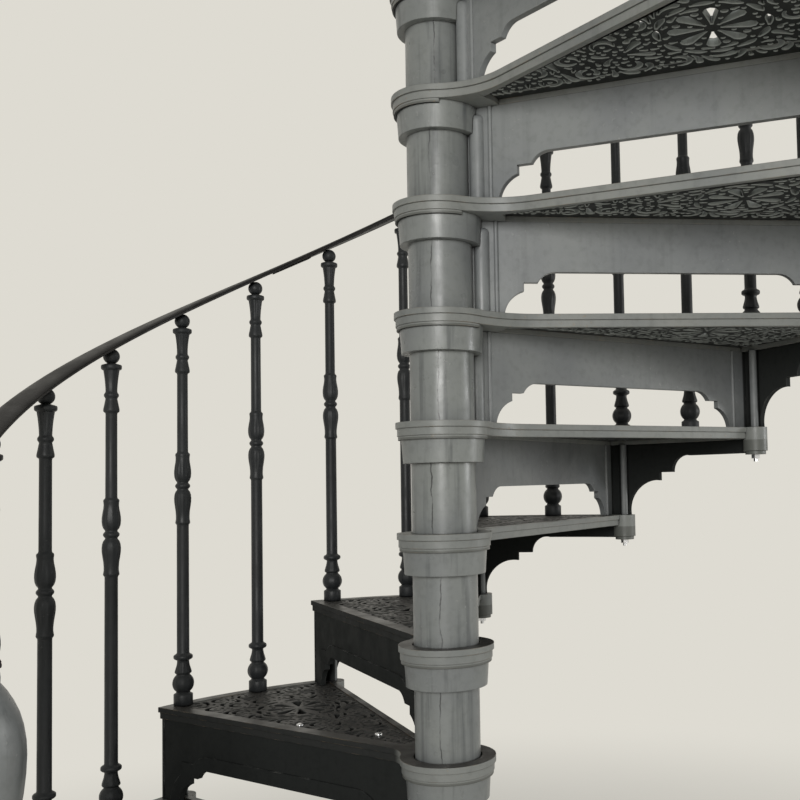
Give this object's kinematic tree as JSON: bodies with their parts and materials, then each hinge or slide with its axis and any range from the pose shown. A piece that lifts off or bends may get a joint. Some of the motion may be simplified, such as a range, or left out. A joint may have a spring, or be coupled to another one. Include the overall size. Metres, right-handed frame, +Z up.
{
  "type": "spiral staircase",
  "caption": "Cast-iron spiral staircase: pierced wedge treads on a sleeved column, risers with stepped openings, turned balusters and a helical handrail.",
  "frame": {"origin": "on the column axis, at floor level", "axes": "+Z up along the column; the landing's far edge lies along -X and its flange faces +Y; the flight climbs clockwise seen from above"},
  "size_m": [1.64, 1.638, 3.5059],
  "materials": {
    "tread_paint": "satin grey paint, worn on the walking side",
    "riser_paint": "satin dark grey paint",
    "column_paint": "satin mid grey paint with seams and old layers below",
    "baluster_paint": "satin charcoal paint",
    "handrail_paint": "dark paint, worn at the edges",
    "zinc": "bright zinc plating"
  },
  "bodies": {
    "root": {"tread_01": "tread_paint", "tread_02": "tread_paint", "tread_03": "tread_paint", "tread_04": "tread_paint", "tread_05": "tread_paint", "tread_06": "tread_paint", "tread_07": "tread_paint", "tread_08": "tread_paint", "tread_09": "tread_paint", "tread_10": "tread_paint", "tread_11": "tread_paint", "tread_12": "tread_paint", "riser_01": "riser_paint", "riser_02": "riser_paint", "riser_03": "riser_paint", "riser_04": "riser_paint", "riser_05": "riser_paint", "riser_06": "riser_paint", "riser_07": "riser_paint", "riser_08": "riser_paint", "riser_09": "riser_paint", "riser_10": "riser_paint", "riser_11": "riser_paint", "riser_12": "riser_paint", "riser_13": "riser_paint", "landing": "tread_paint", "column_sleeves": "column_paint", "centre_post": "column_paint", "column_cap": "column_paint", "base_plate": "column_paint", "newel_post": "column_paint", "balusters_short": "baluster_paint", "balusters_long": "baluster_paint", "balusters_landing": "baluster_paint", "handrail": "handrail_paint", "rail_splices": "handrail_paint", "fixing_nuts": "zinc"}
  },
  "joints": []
}
